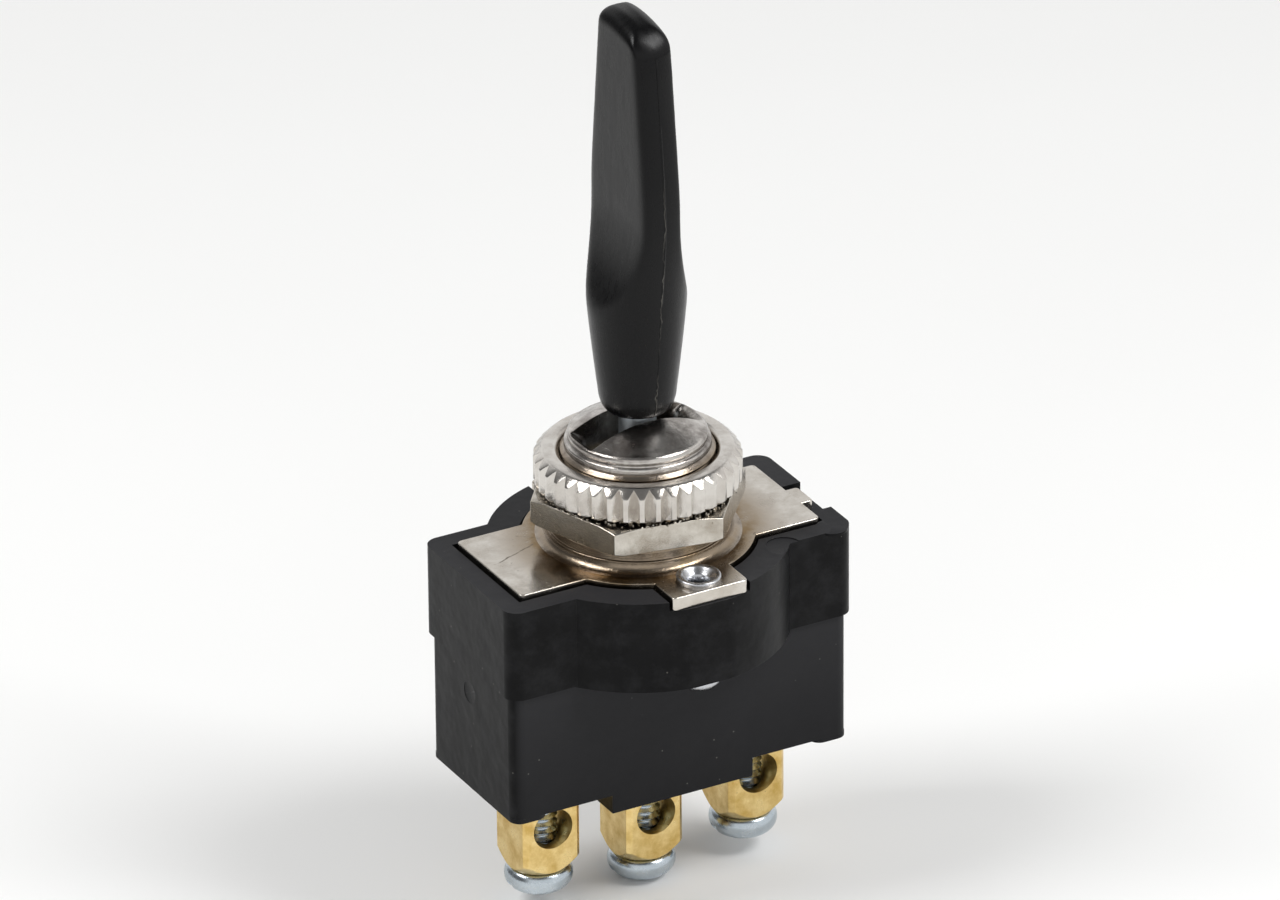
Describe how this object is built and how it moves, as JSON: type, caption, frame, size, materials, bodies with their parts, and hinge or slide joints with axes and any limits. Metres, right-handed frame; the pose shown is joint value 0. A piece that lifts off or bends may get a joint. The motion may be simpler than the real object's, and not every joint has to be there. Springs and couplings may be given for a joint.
{
  "type": "panel toggle switch",
  "caption": "Panel-mounted toggle switch with a flat-sided lever, threaded bushing with hex and knurled nuts, black moulded body and brass screw terminals.",
  "frame": {"origin": "on the bushing axis, level with the rim of the moulded housing, where the switch goes through its panel", "axes": "+Z along the bushing, out of the panel towards the lever tip; X along the body, the way the lever swings; Y across the body"},
  "size_m": [0.03, 0.0232, 0.073],
  "materials": {
    "black_moulding": "satin",
    "black_sleeve": "satin",
    "nickel_sheet": "satin nickel plate",
    "nickel_turned": "bright nickel plate",
    "zinc_steel": "bright zinc plate",
    "spring_steel": "bright",
    "brass": "machined",
    "contact_alloy": "stamped",
    "silver": "satin",
    "nylon": "matt",
    "rivet_metal": "bright"
  },
  "bodies": {
    "body": {"housing": "black_moulding", "cover_plate": "nickel_sheet", "bushing": "nickel_turned", "pivot_pin": "zinc_steel", "fulcrum_bracket": "brass", "contact_plate_left": "brass", "contact_plate_right": "brass", "fixed_tip_left": "silver", "fixed_tip_right": "silver", "terminal_left": "brass", "terminal_centre": "brass", "terminal_right": "brass", "rivet_front": "rivet_metal", "rivet_rear": "rivet_metal"},
    "lever": {"lever_rod": "zinc_steel", "lever_sleeve": "black_sleeve", "plunger_spring": "spring_steel"},
    "plunger": {"plunger": "nylon"},
    "rocker": {"rocker": "contact_alloy", "rocker_tip_left": "silver", "rocker_tip_right": "silver"},
    "hex_nut": {"hex_nut": "nickel_turned"},
    "knurled_nut": {"knurled_nut": "nickel_turned"},
    "screw_left": {"terminal_screw_left": "zinc_steel"},
    "screw_centre": {"terminal_screw_centre": "zinc_steel"},
    "screw_right": {"terminal_screw_right": "zinc_steel"}
  },
  "joints": [
    {"name": "lever_tilt", "type": "hinge", "parent": "body", "child": "lever", "pos_m": [0, 0, 0.003], "axis": [0, 1, 0], "range_deg": [-15, 15]},
    {"name": "rocker_tilt", "type": "hinge", "parent": "body", "child": "rocker", "pos_m": [0, 0, -0.0123], "axis": [0, 1, 0], "range_deg": [-9, 9]},
    {"name": "plunger_slide", "type": "slide", "parent": "lever", "child": "plunger", "axis": [0, 0, 1], "range_m": [0, 0.0005], "stiffness_N_per_m": 300, "deforming": ["plunger_spring"]},
    {"name": "hex_nut_turn", "type": "hinge", "parent": "body", "child": "hex_nut", "pos_m": [0, 0, 0.0034], "axis": [0, 0, 1], "range_deg": [0, 126]},
    {"name": "knurled_nut_off", "type": "slide", "parent": "body", "child": "knurled_nut", "axis": [0, 0, 1], "range_m": [0, 0.00295]},
    {"name": "screw_left_out", "type": "slide", "parent": "body", "child": "screw_left", "axis": [0, 0, -1], "range_m": [0, 0.0038]},
    {"name": "screw_centre_out", "type": "slide", "parent": "body", "child": "screw_centre", "axis": [0, 0, -1], "range_m": [0, 0.0038]},
    {"name": "screw_right_out", "type": "slide", "parent": "body", "child": "screw_right", "axis": [0, 0, -1], "range_m": [0, 0.0038]}
  ],
  "couplings": [
    {"joint": "rocker_tilt", "follows": "lever_tilt", "ratio": -0.6}
  ]
}
